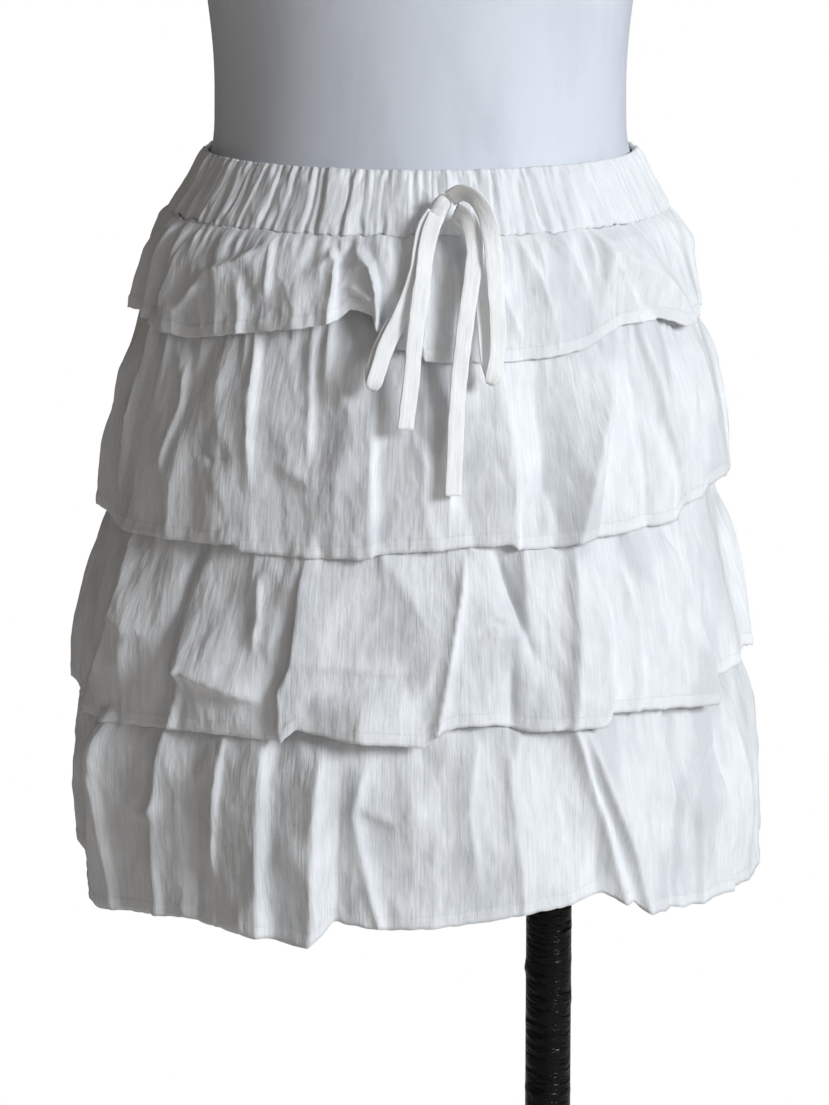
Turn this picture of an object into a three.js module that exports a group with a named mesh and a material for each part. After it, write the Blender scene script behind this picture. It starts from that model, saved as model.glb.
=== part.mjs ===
// Tiered skort on a limbless dress form that stands on an off-centre pole and a round base.
// Millimetres, +Z up, front towards -Y, +X on the right of a front view. Origin on the floor
// under the middle of the base.
import * as THREE from "three";
import { mergeVertices } from "three/addons/utils/BufferGeometryUtils.js";

// Driving dimensions
const SEAM_GAP = 0.3; // between pieces that are sewn or seated together
const CLOTH_WALL = 1.4;
const LINING_WALL = 1.2;
const BAND_WALL = 3;
const BAND_TOP = 950;
const BAND_BOTTOM = 919;
const GATHER_DEPTH = 0.9;
const GATHERS_ROUND = 44;

const BASE_RADIUS = 195;
const BASE_HEIGHT = 9;
const BASE_EDGE = 3;
const POLE_RADIUS = 12.7;
const POLE_X = 69;
const FLANGE_RADIUS = 32;
const FLANGE_HEIGHT = 6;
const FORM_BOTTOM = 706;

const TAPE_WIDTH = 8.5;
const TAPE_THICKNESS = 1.2;
const TAPE_STEP = 7;

const CROTCH = 664;
const LEG_HEM = 606;

// Materials
const finish = (color, roughness, metalness = 0) =>
  new THREE.MeshStandardMaterial({ color, roughness, metalness });
const cotton = finish(0xe9ebee, 0.9);
const liningCotton = finish(0xe4e5e6, 0.92);
const shellPlastic = finish(0xc9c8d2, 0.55);
const polishedBlack = finish(0x17161a, 0.3);
const paintedSteel = finish(0x1d1d20, 0.45, 0.6);

// The outline of a section: angle 0 is the front centre, 90 degrees the right of a front view.
function outlinePoint(row, angle, out = 0) {
  const side = Math.sin(angle);
  const front = Math.cos(angle);
  const half = side < 0 ? row.left : row.right;
  const deep = row.deep + out;
  return new THREE.Vector3((half + out) * side, -deep * front, row.z);
}

// A closed wall from the grid of its outer face. Rows run from the top down and points go
// anticlockwise from above. A round wall joins its last point to its first, and any other may
// name the normal of the plane that its two side edges stay in. Top and bottom edges are level.
function wallGeometry(rows, thickness, isRound, seamNormal = null) {
  const across = rows[0].length;
  const down = rows.length;
  const nextOf = (i) => (isRound ? (i + 1) % across : Math.min(i + 1, across - 1));
  const lastOf = (i) => (isRound ? (i + across - 1) % across : Math.max(i - 1, 0));
  const positions = [];
  const inner = [];
  rows.forEach((row, j) =>
    row.forEach((point, i) => {
      const along = row[nextOf(i)].clone().sub(row[lastOf(i)]);
      const below = rows[Math.min(j + 1, down - 1)][i].clone();
      const downward = below.sub(rows[Math.max(j - 1, 0)][i]);
      const outward = downward.cross(along);
      if (j === 0 || j === down - 1) outward.setZ(0);
      if (seamNormal && (i === 0 || i === across - 1)) outward.projectOnPlane(seamNormal);
      outward.normalize();
      positions.push(...point.toArray());
      inner.push(...point.clone().addScaledVector(outward, -thickness).toArray());
    }),
  );
  const count = across * down;
  const faces = [];
  const quad = (a, b, c, d) => faces.push(a, b, c, a, c, d);
  const columns = isRound ? across : across - 1;
  for (let i = 0; i < columns; i++) {
    const next = nextOf(i);
    for (let j = 0; j < down - 1; j++) {
      const [a, b] = [j * across + i, (j + 1) * across + i];
      const [c, d] = [(j + 1) * across + next, j * across + next];
      quad(a, b, c, d);
      quad(count + a, count + d, count + c, count + b);
    }
    const low = (down - 1) * across;
    quad(i, next, count + next, count + i);
    quad(low + i, count + low + i, count + low + next, low + next);
  }
  if (!isRound) {
    for (let j = 0; j < down - 1; j++) {
      const [a, b] = [j * across, (j + 1) * across];
      const [c, d] = [a + across - 1, b + across - 1];
      quad(a, count + a, count + b, b);
      quad(c, d, count + d, count + c);
    }
  }
  const geometry = new THREE.BufferGeometry();
  const values = new Float32Array([...positions, ...inner]);
  geometry.setAttribute("position", new THREE.BufferAttribute(values, 3));
  geometry.setIndex(faces);
  return geometry;
}

// A solid from rings that all have the same number of points, capped flat at both ends.
function ringsGeometry(rings) {
  const across = rings[0].length;
  const positions = rings.flat().flatMap((point) => point.toArray());
  const faces = [];
  for (let j = 0; j < rings.length - 1; j++) {
    for (let i = 0; i < across; i++) {
      const next = (i + 1) % across;
      const [a, b] = [j * across + i, (j + 1) * across + i];
      const [c, d] = [(j + 1) * across + next, j * across + next];
      faces.push(a, b, c, a, c, d);
    }
  }
  const low = (rings.length - 1) * across;
  for (let i = 1; i < across - 1; i++) {
    faces.push(0, i, i + 1);
    faces.push(low, low + i + 1, low + i);
  }
  const geometry = new THREE.BufferGeometry();
  geometry.setAttribute("position", new THREE.BufferAttribute(new Float32Array(positions), 3));
  geometry.setIndex(faces);
  return geometry;
}

const skortOnForm = new THREE.Group();
function add(name, geometry, material) {
  const mesh = new THREE.Mesh(geometry, material);
  mesh.name = name;
  skortOnForm.add(mesh);
  return mesh;
}

// Dress form: a hard torso with a flat underside, a waist, a soft bust, sloping shoulders with
// rounded armhole caps, and a neck stub with a cap. front and back are its half depths.
const FORM_SECTIONS = [
  { z: 1398, half: 46, front: 40, back: 52 },
  { z: 1376, half: 48, front: 44, back: 55 },
  { z: 1358, half: 62, front: 52, back: 62 },
  { z: 1344, half: 104, front: 60, back: 70 },
  { z: 1328, half: 142, front: 66, back: 76 },
  { z: 1300, half: 160, front: 76, back: 84 },
  { z: 1262, half: 162, front: 88, back: 88 },
  { z: 1222, half: 152, front: 104, back: 88 },
  { z: 1188, half: 141, front: 117, back: 86 },
  { z: 1160, half: 134, front: 120, back: 84 },
  { z: 1128, half: 127, front: 113, back: 82 },
  { z: 1090, half: 119, front: 100, back: 81 },
  { z: 1040, half: 111, front: 89, back: 80 },
  { z: 1000, half: 106.5, front: 85, back: 79.5 },
  { z: 975, half: 106, front: 84, back: 80.5 },
  { z: BAND_TOP, half: 107.6, front: 85.6, back: 85.6 },
  { z: 935, half: 113.4, front: 91, back: 91.5 },
  { z: BAND_BOTTOM, half: 121, front: 96.5, back: 97.5 },
  { z: 890, half: 129, front: 101, back: 103 },
  { z: 850, half: 136, front: 106, back: 108.5 },
  { z: 800, half: 142.5, front: 108, back: 113.5 },
  { z: 760, half: 141, front: 103, back: 111 },
  { z: 730, half: 132, front: 92, back: 101 },
  { z: 714, half: 120, front: 80, back: 90 },
  { z: FORM_BOTTOM, half: 100, front: 64, back: 72 },
];
const FORM_SIDES = 40;
const FORM_WAIST = 1000;
const FORM_SHOULDERS = 1250;
const SHOULDER_SQUARENESS = 0.86; // a power below 1 squares a section's corners a little
function formRing({ z, half, front, back }) {
  const upper = THREE.MathUtils.smoothstep(z, FORM_WAIST, FORM_SHOULDERS);
  const power = THREE.MathUtils.lerp(1, SHOULDER_SQUARENESS, upper);
  const squared = (value) => Math.sign(value) * Math.abs(value) ** power;
  return Array.from({ length: FORM_SIDES }, (_, i) => {
    const angle = (i / FORM_SIDES) * 2 * Math.PI;
    const [side, ahead] = [Math.sin(angle), Math.cos(angle)];
    const deep = ahead > 0 ? front : back;
    return new THREE.Vector3(half * squared(side), -deep * squared(ahead), z);
  });
}
add("dress_form", ringsGeometry(FORM_SECTIONS.map(formRing)), shellPlastic);

const NECK_CAP_HEIGHT = 7;
const NECK_CAP_GROWTH = 1.05;
const neckTop = FORM_SECTIONS[0];
const capRing = (rise, growth) =>
  formRing({
    z: neckTop.z + SEAM_GAP + rise,
    half: neckTop.half * growth,
    front: neckTop.front * growth,
    back: neckTop.back * growth,
  });
const neckCap = ringsGeometry([
  capRing(NECK_CAP_HEIGHT, 0.94),
  capRing(NECK_CAP_HEIGHT - 2, NECK_CAP_GROWTH),
  capRing(0, NECK_CAP_GROWTH),
]);
add("neck_cap", neckCap, shellPlastic);

// Stand: a round base plate, a pole to one side of its middle, and the pole's flange.
function turned(profile, sides) {
  const lathe = new THREE.LatheGeometry(
    profile.map(([radius, z]) => new THREE.Vector2(radius, z)),
    sides,
  );
  lathe.deleteAttribute("normal");
  lathe.deleteAttribute("uv");
  return mergeVertices(lathe, 1e-3).rotateX(Math.PI / 2);
}
const baseProfile = [
  [0, 0],
  [BASE_RADIUS, 0],
  [BASE_RADIUS, BASE_HEIGHT - BASE_EDGE],
  [BASE_RADIUS - BASE_EDGE, BASE_HEIGHT],
  [0, BASE_HEIGHT],
];
add("base_plate", turned(baseProfile, 64), paintedSteel);
const flangeTop = FORM_BOTTOM - SEAM_GAP;
const poleTop = flangeTop - FLANGE_HEIGHT - SEAM_GAP;
const poleBottom = BASE_HEIGHT + SEAM_GAP;
const poleProfile = [
  [0, poleBottom],
  [POLE_RADIUS, poleBottom],
  [POLE_RADIUS, poleTop],
  [0, poleTop],
];
add("pole", turned(poleProfile, 24), polishedBlack).position.x = POLE_X;
const flangeProfile = [
  [0, flangeTop - FLANGE_HEIGHT],
  [FLANGE_RADIUS - 2, flangeTop - FLANGE_HEIGHT],
  [FLANGE_RADIUS, flangeTop - FLANGE_HEIGHT + 2],
  [FLANGE_RADIUS, flangeTop],
  [0, flangeTop],
];
add("pole_flange", turned(flangeProfile, 24), paintedSteel).position.x = POLE_X;

// Waistband: an elastic casing gathered all round, with uneven ridges from edge to edge.
const BAND_SECTIONS = [
  { z: BAND_TOP, left: 112, right: 112, deep: 90 },
  { z: 936, left: 118.5, right: 118, deep: 96.5 },
  { z: BAND_BOTTOM, left: 130.5, right: 128, deep: 106 },
];
const gather = (angle) =>
  GATHER_DEPTH * Math.sin(GATHERS_ROUND * angle + 1.4 * Math.sin(3 * angle) + Math.sin(7 * angle));
const roundOf = (count) => Array.from({ length: count }, (_, i) => (i / count) * 2 * Math.PI);
const bandRows = BAND_SECTIONS.map((row) =>
  roundOf(GATHERS_ROUND * 3).map((angle) => outlinePoint(row, angle, gather(angle))),
);
add("waistband", wallGeometry(bandRows, BAND_WALL, true), cotton);

// Foundation: the plain under-skirt that the gathered top edge of each tier is sewn to.
const FOUNDATION_SECTIONS = [
  { z: BAND_BOTTOM - SEAM_GAP, left: 128.6, right: 126, deep: 104 },
  { z: 885, left: 136.3, right: 134.3, deep: 109.3 },
  { z: 840, left: 144.4, right: 141.4, deep: 115.4 },
  { z: 790, left: 152.3, right: 148.3, deep: 122.3 },
  { z: 745, left: 159.4, right: 152.4, deep: 126 },
  { z: 702, left: 165.3, right: 156.3, deep: 129.3 },
];
const foundationRows = FOUNDATION_SECTIONS.map((row) =>
  roundOf(44).map((angle) => outlinePoint(row, angle)),
);
add("foundation", wallGeometry(foundationRows, LINING_WALL, true), liningCotton);

// Tiers: sections give the face of the cloth between folds. A fold has its place and half width
// in degrees at the hem, how far it stands out there, the share of the tier's height where it
// starts, and its lean in degrees from seam to hem. A drop lowers or lifts the hem at a place.
const TIERS = [
  {
    name: "tier_1",
    sections: [
      { z: BAND_BOTTOM - SEAM_GAP, left: 130.6, right: 128, deep: 106 },
      { z: 905, left: 139, right: 136.5, deep: 113 },
      { z: 890, left: 144.5, right: 142, deep: 116.5 },
      { z: 874, left: 148, right: 145, deep: 119.5 },
      { z: 864, left: 148, right: 145, deep: 120 },
    ],
    folds: [
      { at: -72, half: 13, out: 6, from: 0.1, lean: -6 },
      { at: -38, half: 10, out: 7, from: 0.2, lean: -3 },
      { at: -19, half: 9, out: 11, from: 0.25, lean: 8 },
      { at: 3, half: 8, out: 3, from: 0.1, lean: 3 },
      { at: 24, half: 11, out: 6, from: 0.2, lean: 2 },
      { at: 58, half: 18, out: 9, from: 0.05, lean: 20 },
      { at: 96, half: 11, out: 7, from: 0.3, lean: 2 },
      { at: 124, half: 12, out: 8, from: 0.2, lean: -6 },
      { at: 150, half: 10, out: 6, from: 0.1, lean: 4 },
      { at: 176, half: 12, out: 9, from: 0.25, lean: -5 },
      { at: 203, half: 10, out: 7, from: 0.15, lean: 3 },
      { at: 231, half: 13, out: 8, from: 0.2, lean: 6 },
      { at: 260, half: 11, out: 6, from: 0.3, lean: -3 },
    ],
    drops: [
      { at: -60, half: 30, drop: 4 },
      { at: 0, half: 25, drop: 3 },
      { at: 60, half: 24, drop: -3 },
      { at: 180, half: 50, drop: 3 },
    ],
  },
  {
    name: "tier_2",
    sections: [
      { z: 885, left: 138, right: 136, deep: 111 },
      { z: 864, left: 144, right: 141.5, deep: 116.5 },
      { z: 840, left: 151, right: 147, deep: 121 },
      { z: 805, left: 160, right: 154, deep: 126 },
      { z: 763, left: 164.5, right: 156, deep: 130 },
    ],
    folds: [
      { at: -82, half: 9, out: 5, from: 0.2, lean: -4 },
      { at: -58, half: 10, out: 7, from: 0.15, lean: -12 },
      { at: -33, half: 7, out: 6, from: 0.1, lean: -2 },
      { at: -12, half: 7, out: 5, from: 0.15, lean: 1 },
      { at: 12, half: 9, out: 3, from: 0.2, lean: 1 },
      { at: 37, half: 9, out: 10, from: 0.2, lean: -10 },
      { at: 62, half: 8, out: 7, from: 0.2, lean: 3 },
      { at: 88, half: 10, out: 9, from: 0.1, lean: 2 },
      { at: 113, half: 9, out: 6, from: 0.2, lean: 5 },
      { at: 137, half: 10, out: 9, from: 0.15, lean: -5 },
      { at: 163, half: 9, out: 6, from: 0.1, lean: 3 },
      { at: 188, half: 10, out: 8, from: 0.25, lean: -3 },
      { at: 214, half: 9, out: 7, from: 0.1, lean: 6 },
      { at: 241, half: 11, out: 9, from: 0.2, lean: -4 },
      { at: 262, half: 8, out: 5, from: 0.2, lean: 2 },
    ],
    drops: [
      { at: -60, half: 35, drop: -3 },
      { at: 20, half: 30, drop: -2 },
      { at: 95, half: 16, drop: -14 },
      { at: 180, half: 60, drop: 2 },
    ],
  },
  {
    name: "tier_3",
    sections: [
      { z: 790, left: 154, right: 150, deep: 124 },
      { z: 763, left: 160.5, right: 153, deep: 127 },
      { z: 735, left: 170, right: 161, deep: 132 },
      { z: 700, left: 178, right: 168, deep: 138 },
      { z: 674, left: 178, right: 169, deep: 140 },
    ],
    folds: [
      { at: -86, half: 10, out: 9, from: 0.25, lean: -3 },
      { at: -62, half: 9, out: 7, from: 0.1, lean: -6 },
      { at: -36, half: 12, out: 8, from: 0.3, lean: -2 },
      { at: -10, half: 9, out: 9, from: 0.2, lean: 4 },
      { at: 7, half: 6, out: 7, from: 0.2, lean: -9 },
      { at: 28, half: 8, out: 6, from: 0.1, lean: 2 },
      { at: 49, half: 9, out: 8, from: 0.15, lean: 3 },
      { at: 74, half: 11, out: 10, from: 0.1, lean: 14 },
      { at: 101, half: 9, out: 6, from: 0.2, lean: -2 },
      { at: 126, half: 10, out: 9, from: 0.15, lean: 5 },
      { at: 151, half: 9, out: 7, from: 0.1, lean: -4 },
      { at: 178, half: 11, out: 9, from: 0.2, lean: 3 },
      { at: 205, half: 9, out: 7, from: 0.25, lean: -5 },
      { at: 232, half: 10, out: 9, from: 0.1, lean: 4 },
      { at: 256, half: 8, out: 6, from: 0.2, lean: -2 },
    ],
    drops: [
      { at: -75, half: 20, drop: 6 },
      { at: 0, half: 20, drop: 2 },
      { at: 35, half: 25, drop: -4 },
      { at: 100, half: 20, drop: -8 },
      { at: 180, half: 60, drop: -2 },
    ],
  },
  {
    name: "tier_4",
    sections: [
      { z: 702, left: 167, right: 158, deep: 131 },
      { z: 674, left: 174, right: 165, deep: 135.5 },
      { z: 640, left: 179, right: 170, deep: 140 },
      { z: 605, left: 178.5, right: 173, deep: 143 },
      { z: 570, left: 174, right: 172, deep: 145 },
    ],
    folds: [
      { at: -80, half: 10, out: 6, from: 0.1, lean: -3 },
      { at: -57, half: 9, out: 8, from: 0.1, lean: -7 },
      { at: -30, half: 10, out: 9, from: 0.15, lean: -3 },
      { at: -4, half: 9, out: 5, from: 0.1, lean: 2 },
      { at: 17, half: 8, out: 6, from: 0.15, lean: 2 },
      { at: 38, half: 6, out: 9, from: 0.1, lean: 12 },
      { at: 56, half: 7, out: 9, from: 0.15, lean: 5 },
      { at: 80, half: 10, out: 8, from: 0.2, lean: 3 },
      { at: 106, half: 10, out: 8, from: 0.15, lean: -2 },
      { at: 131, half: 9, out: 10, from: 0.1, lean: 5 },
      { at: 158, half: 10, out: 7, from: 0.2, lean: -4 },
      { at: 184, half: 9, out: 9, from: 0.1, lean: 3 },
      { at: 210, half: 11, out: 8, from: 0.15, lean: 5 },
      { at: 236, half: 9, out: 9, from: 0.1, lean: -3 },
      { at: 260, half: 9, out: 6, from: 0.2, lean: 2 },
    ],
    drops: [
      { at: -30, half: 14, drop: 6 },
      { at: 50, half: 14, drop: 4 },
      { at: 90, half: 25, drop: -8 },
      { at: -90, half: 20, drop: -5 },
      { at: 180, half: 60, drop: 2 },
    ],
  },
];
const FOLD_COLUMNS = 38;
const FULL_TURN = 360;
const swell = (distance, half) => {
  const wrapped = THREE.MathUtils.euclideanModulo(distance + 180, FULL_TURN) - 180;
  return Math.abs(wrapped) < half ? 0.5 + 0.5 * Math.cos((wrapped / half) * Math.PI) : 0;
};
function tierPoint(tier, row, share, degrees) {
  let out = 0;
  for (const fold of tier.folds) {
    const centre = fold.at - fold.lean * (1 - share);
    const grown = THREE.MathUtils.smoothstep(share, fold.from, 1);
    out += fold.out * grown * swell(degrees - centre, fold.half);
  }
  let drop = 0;
  for (const place of tier.drops) drop += place.drop * swell(degrees - place.at, place.half);
  const point = outlinePoint(row, THREE.MathUtils.degToRad(degrees), out);
  point.z -= drop * share * share;
  return point;
}
function tierPanel(tier, fromDegrees, toDegrees) {
  const sections = tier.sections;
  const [top, hem] = [sections[0].z, sections[sections.length - 1].z];
  const edge = THREE.MathUtils.radToDeg(SEAM_GAP / sections[0].left);
  const rows = sections.map((row) => {
    const share = (top - row.z) / (top - hem);
    return Array.from({ length: FOLD_COLUMNS + 1 }, (_, i) => {
      const degrees = fromDegrees + edge + ((toDegrees - fromDegrees - 2 * edge) * i) / FOLD_COLUMNS;
      return tierPoint(tier, row, share, degrees);
    });
  });
  return wallGeometry(rows, CLOTH_WALL, false, new THREE.Vector3(0, 1, 0));
}
for (const tier of TIERS) {
  add(tier.name + "_front", tierPanel(tier, -90, 90), cotton);
  add(tier.name + "_back", tierPanel(tier, 90, 270), cotton);
}

// Shorts: a left and a right half, each with its own leg, joined at the centre seam and slit by
// the seam gap along the inseam. reach is the half width of the hips or the leg's ellipse.
const SHORTS_SECTIONS = [
  { z: BAND_BOTTOM - SEAM_GAP, centre: 0, reach: 124.4, deep: 101.5 },
  { z: 885, centre: 0, reach: 132.5, deep: 107.4 },
  { z: 840, centre: 0, reach: 139.6, deep: 113.4 },
  { z: 790, centre: 0, reach: 146.4, deep: 119 },
  { z: 745, centre: 0, reach: 148.5, deep: 119 },
  { z: 700, centre: 6, reach: 142.5, deep: 116 },
  { z: 682, centre: 28, reach: 119, deep: 108 },
  { z: 670, centre: 54, reach: 92, deep: 100 },
  { z: CROTCH, centre: 71.2, reach: 73, deep: 94 },
  { z: 636, centre: 73, reach: 73, deep: 90 },
  { z: LEG_HEM, centre: 74, reach: 74, deep: 89 },
];
const SHORTS_COLUMNS = 24;
function shortsHalf(side) {
  const rows = SHORTS_SECTIONS.map(({ z, centre, reach, deep }) => {
    const inner = Math.min(0.999, (centre - SEAM_GAP / 2) / reach);
    const open = Math.acos(-inner);
    return Array.from({ length: SHORTS_COLUMNS + 1 }, (_, i) => {
      const turn = side * open * ((2 * i) / SHORTS_COLUMNS - 1);
      const x = Math.max(SEAM_GAP / 2, centre + reach * Math.cos(turn));
      return new THREE.Vector3(side * x, deep * Math.sin(turn), z);
    });
  });
  return wallGeometry(rows, LINING_WALL, false);
}
add("shorts_right", shortsHalf(1), liningCotton);
add("shorts_left", shortsHalf(-1), liningCotton);

// Drawstring: a flat tape tied in a bow at the front centre, over a knot at its slit in the band.
// Routes are lists of x, y, z in order along the tape.
class TapeRoute extends THREE.CatmullRomCurve3 {
  constructor(points) {
    super(points.map((point) => new THREE.Vector3(...point)), false, "centripetal");
  }

  // Carries the tape's face along the route without twist, starting with it to the front.
  computeFrenetFrames(segments) {
    const tangents = [];
    const normals = [];
    const binormals = [];
    let face = new THREE.Vector3(0, -1, 0);
    for (let i = 0; i <= segments; i++) {
      const tangent = this.getTangentAt(i / segments);
      face = face.clone().addScaledVector(tangent, -face.dot(tangent)).normalize();
      tangents.push(tangent);
      normals.push(face);
      binormals.push(new THREE.Vector3().crossVectors(tangent, face));
    }
    return { tangents, normals, binormals };
  }
}
const TAPE_CORNER = 0.25;
function tapeGeometry(route) {
  const [thin, wide] = [TAPE_THICKNESS / 2, TAPE_WIDTH / 2];
  const section = new THREE.Shape([
    new THREE.Vector2(-thin, -wide + TAPE_CORNER),
    new THREE.Vector2(-thin + TAPE_CORNER, -wide),
    new THREE.Vector2(thin - TAPE_CORNER, -wide),
    new THREE.Vector2(thin, -wide + TAPE_CORNER),
    new THREE.Vector2(thin, wide - TAPE_CORNER),
    new THREE.Vector2(thin - TAPE_CORNER, wide),
    new THREE.Vector2(-thin + TAPE_CORNER, wide),
    new THREE.Vector2(-thin, wide - TAPE_CORNER),
  ]);
  const path = new TapeRoute(route);
  const steps = Math.round(path.getLength() / TAPE_STEP);
  const tape = new THREE.ExtrudeGeometry(section, { steps, bevelEnabled: false, extrudePath: path });
  tape.deleteAttribute("normal");
  tape.deleteAttribute("uv");
  return mergeVertices(tape, 1e-3);
}
const KNOT = { x: 9, y: -106.2, z: 931.5, half: 7, deep: 4.5, tall: 9.5 };
const TAPES = {
  drawstring_left_loop: [
    [2.8, -110, 925.9],
    [0, -116, 914],
    [-2, -122, 902],
    [-6, -126, 891],
    [-11, -129, 880],
    [-17, -132, 868],
    [-21, -134, 856],
    [-23, -134.6, 850],
    [-24, -133, 846.5],
    [-24.5, -131.2, 850],
    [-23, -130.6, 858],
    [-18, -128.8, 870],
    [-11, -125.6, 882],
    [-5, -122, 893],
    [-1, -117.4, 904],
    [1.5, -111.6, 915],
  ],
  drawstring_left_end: [
    [4, -113.6, 922],
    [2.5, -118.6, 912],
    [1, -125.6, 900],
    [-1, -130.4, 887],
    [-3, -132.8, 870],
    [-4.5, -133.8, 852],
    [-6, -134.4, 840],
    [-7.5, -135, 827],
  ],
  drawstring_right_loop: [
    [14.5, -109, 938],
    [20, -113, 941.5],
    [26, -117, 940],
    [31, -120.5, 934],
    [34, -124, 925],
    [35.5, -127.5, 914],
    [36.5, -130, 900],
    [37.5, -133, 886],
    [38, -134.6, 872],
    [37, -135.4, 861],
    [35.5, -135, 853],
    [34, -133.2, 849.5],
    [33, -131.6, 853],
    [32, -130.8, 864],
    [31.5, -128.8, 880],
    [30.5, -125, 897],
    [28, -119, 911],
    [24, -112.6, 921],
    [17.6, -107.6, 929],
  ],
  drawstring_right_end: [
    [17, -112, 932.4],
    [22, -117, 930],
    [25.5, -121, 923],
    [26.5, -125, 914],
    [25.5, -129, 903],
    [23.5, -131.6, 890],
    [21.5, -133.6, 875],
    [19.5, -134.8, 858],
    [18, -135.2, 840],
    [17, -136, 817],
    [16, -137.4, 794],
  ],
};
const knot = new THREE.SphereGeometry(1, 16, 10);
knot.deleteAttribute("normal");
knot.deleteAttribute("uv");
const knotMesh = add("drawstring_knot", mergeVertices(knot, 1e-3), cotton);
knotMesh.scale.set(KNOT.half, KNOT.deep, KNOT.tall);
knotMesh.position.set(KNOT.x, KNOT.y, KNOT.z);
for (const [name, route] of Object.entries(TAPES)) add(name, tapeGeometry(route), cotton);

export default skortOnForm;
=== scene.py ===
import math
import random

import bpy
import numpy as np
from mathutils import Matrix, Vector, noise
from mathutils.bvhtree import BVHTree


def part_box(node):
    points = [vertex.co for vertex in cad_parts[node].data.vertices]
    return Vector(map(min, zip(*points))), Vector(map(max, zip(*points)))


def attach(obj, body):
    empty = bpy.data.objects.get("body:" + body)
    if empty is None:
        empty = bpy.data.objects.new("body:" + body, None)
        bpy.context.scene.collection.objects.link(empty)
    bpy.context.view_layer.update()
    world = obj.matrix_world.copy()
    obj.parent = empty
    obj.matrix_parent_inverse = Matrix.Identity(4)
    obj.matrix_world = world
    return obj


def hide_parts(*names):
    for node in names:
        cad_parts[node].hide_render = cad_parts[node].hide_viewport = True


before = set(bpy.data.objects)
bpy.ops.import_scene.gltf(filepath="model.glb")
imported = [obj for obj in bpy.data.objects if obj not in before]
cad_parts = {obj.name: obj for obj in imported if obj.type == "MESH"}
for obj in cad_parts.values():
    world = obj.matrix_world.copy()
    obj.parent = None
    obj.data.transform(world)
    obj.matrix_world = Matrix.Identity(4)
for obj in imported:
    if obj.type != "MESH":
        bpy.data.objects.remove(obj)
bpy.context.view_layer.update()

# Camera: in front of the skort, a little above it and looking slightly down, far enough away
# that the sides stay nearly parallel. Angle 0 is the front, towards -Y.
MM = 0.001
AIM = Vector((-3 * MM, 0, 735 * MM))
CAMERA_DISTANCE = 2.4
CAMERA_LOOKS_DOWN = math.radians(12.5)
CAMERA_FIELD = math.radians(13.82)
camera_data = bpy.data.cameras.new("camera")
camera_data.sensor_fit = "VERTICAL"
camera_data.angle = CAMERA_FIELD
camera_data.clip_end = 100
camera = bpy.data.objects.new("camera", camera_data)
bpy.context.collection.objects.link(camera)
away = Vector((0, -math.cos(CAMERA_LOOKS_DOWN), math.sin(CAMERA_LOOKS_DOWN)))
camera.location = AIM + away * CAMERA_DISTANCE
camera.rotation_euler = (math.pi / 2 - CAMERA_LOOKS_DOWN, 0, 0)
bpy.context.scene.camera = camera


# Cotton: a thin crinkled plain weave, white with a cool cast. Uneven vertical slubs and fine crinkles run
# down it. Its colour is partly the slubs' own colour and partly painted shade in the hollows of the
# crinkles and crumples. It greys in random patches of painted shade, for the layer beneath seen through
# the thin cloth.
# Each hem has a row of stitches a little above its edge. The drawstring's tape is a denser, whiter cloth.
class Wire:
    """One socket of a material, on which arithmetic adds Math nodes."""

    def __init__(self, tree, socket=None):
        self.tree = tree
        self.socket = socket

    def node(self, kind, settings, inputs, output=0):
        made = self.tree.nodes.new("ShaderNode" + kind)
        for name, value in settings.items():
            if name == "stops":
                ramp = made.color_ramp.elements
                for stop, (place, shade) in zip((ramp[0], ramp[1]), value):
                    stop.position = place
                    stop.color = (shade, shade, shade, 1)
            else:
                setattr(made, name, value)
        for name, value in inputs.items():
            self.plug(value, made.inputs[name])
        return Wire(self.tree, made.outputs[output])

    def plug(self, value, pin):
        if isinstance(value, Wire):
            self.tree.links.new(value.socket, pin)
        else:
            pin.default_value = value

    def maths(self, operation, first, second=0.0):
        return self.node("Math", {"operation": operation}, {0: first, 1: second})

    def __add__(self, other):
        return self.maths("ADD", self, other)

    def __sub__(self, other):
        return self.maths("SUBTRACT", self, other)

    def __rsub__(self, other):
        return self.maths("SUBTRACT", other, self)

    def __mul__(self, other):
        return self.maths("MULTIPLY", self, other)

    def __lt__(self, other):
        return self.maths("LESS_THAN", self, other)

    def part(self, axis):
        return self.node("SeparateXYZ", {}, {0: self}, axis)

    def stretched(self, scale):
        return self.node("VectorMath", {"operation": "MULTIPLY"}, {0: self, 1: scale})

    def cloudy(self, place, scale, detail=3.0):
        return self.node("TexNoise", {}, {"Vector": place, "Scale": scale, "Detail": detail})

    def blend(self, share, first, second):
        settings = {"data_type": "RGBA", "blend_type": "MIX"}
        return self.node("Mix", settings, {0: share, 6: first, 7: second}, 2)


def new_material(name, **uniform):
    material = bpy.data.materials.new(name)
    material.use_nodes = True
    shader = material.node_tree.nodes["Principled BSDF"]
    for socket, value in uniform.items():
        shader.inputs[socket.replace("_", " ")].default_value = value
    return material, Wire(material.node_tree), shader


CLOTH_MAP = "cloth"  # metres: across the cloth, and up from its hem
COTTON_WHITE = (0.895, 0.905, 0.92, 1)
# The low end of the cotton's colour: partly darker slubs, partly painted shade in the hollows of the
# crinkles and crumples. The stitch line is drawn in it too.
COTTON_SHADE = (0.765, 0.78, 0.805, 1)
# Painted shade: the grey of patches where shade from the layer beneath shows through the thin cloth.
COTTON_SHADE_SEEN_THROUGH = (0.66, 0.675, 0.70, 1)
TAPE_WHITE = (0.95, 0.95, 0.945, 1)
# The low end of the tape's colour: partly darker slubs, partly painted shade in its hollows.
TAPE_SHADE = (0.90, 0.90, 0.895, 1)
HEM_WHITE = (0.91, 0.92, 0.94, 1)
THREADS = 6200.0  # radians of thread for each metre
STITCH_HEIGHT = 6.5 * MM
STITCH_LENGTH = 2.6 * MM
STITCH_HALF_WIDTH = 0.35 * MM
STITCH_SHARE = 0.72  # of each stitch length that thread covers


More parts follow.
